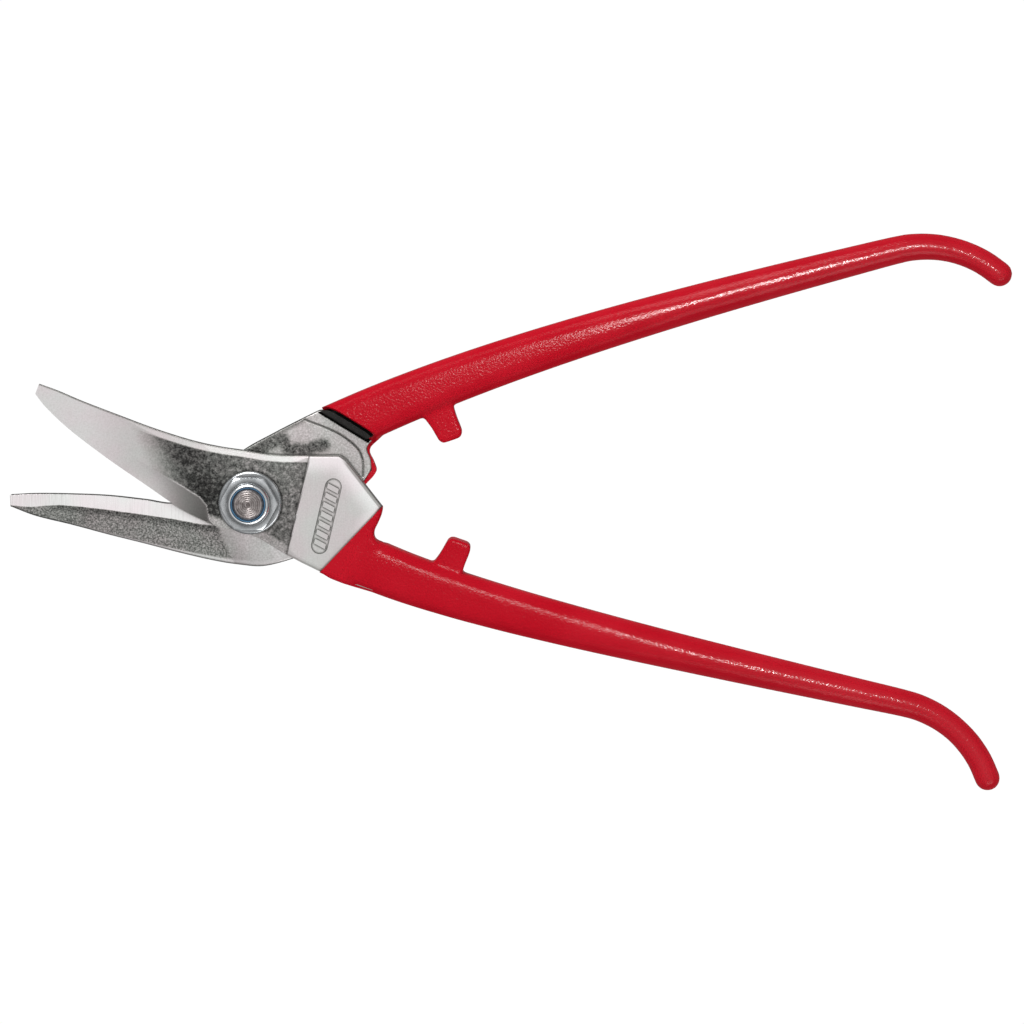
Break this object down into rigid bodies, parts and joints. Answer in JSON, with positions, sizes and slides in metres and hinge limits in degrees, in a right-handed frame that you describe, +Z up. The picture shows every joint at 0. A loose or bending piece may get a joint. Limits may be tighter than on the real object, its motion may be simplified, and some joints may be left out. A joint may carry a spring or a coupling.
{
  "type": "sheet metal snips",
  "caption": "Single-pivot sheet metal snips: two forged levers with swept blades, dipped handles with stop lugs and hooked ends, and a bolt with a washer and locking nut.",
  "frame": {"origin": "centre of the bolt head's outer face, on the pivot axis, which rests on the bench", "axes": "+Z up the pivot axis from the bolt head to the locking nut, +X from the pivot towards the handles, +Y towards the rear lever's handle"},
  "size_m": [0.2537, 0.1415, 0.0252],
  "materials": {
    "forged_steel": "ground satin on the blades and pad, blasted and darkened in the hollows",
    "red_coating": "dipped vinyl, soft gloss with a fine pebble",
    "bolt_steel": "turned end with a centre mark",
    "zinc_plate": "bright zinc plate",
    "blue_nylon": "moulded nylon"
  },
  "bodies": {
    "rear_half": {"rear_lever": "forged_steel", "rear_grip": "red_coating", "pivot_bolt": "bolt_steel", "pivot_washer": "zinc_plate", "lock_nut": "zinc_plate", "nut_insert": "blue_nylon"},
    "front_half": {"front_lever": "forged_steel", "front_grip": "red_coating"}
  },
  "joints": [
    {"name": "pivot", "type": "hinge", "parent": "rear_half", "child": "front_half", "pos_m": [0, 0, 0.01082], "axis": [0, 0, 1], "range_deg": [-25, 26.8]}
  ]
}
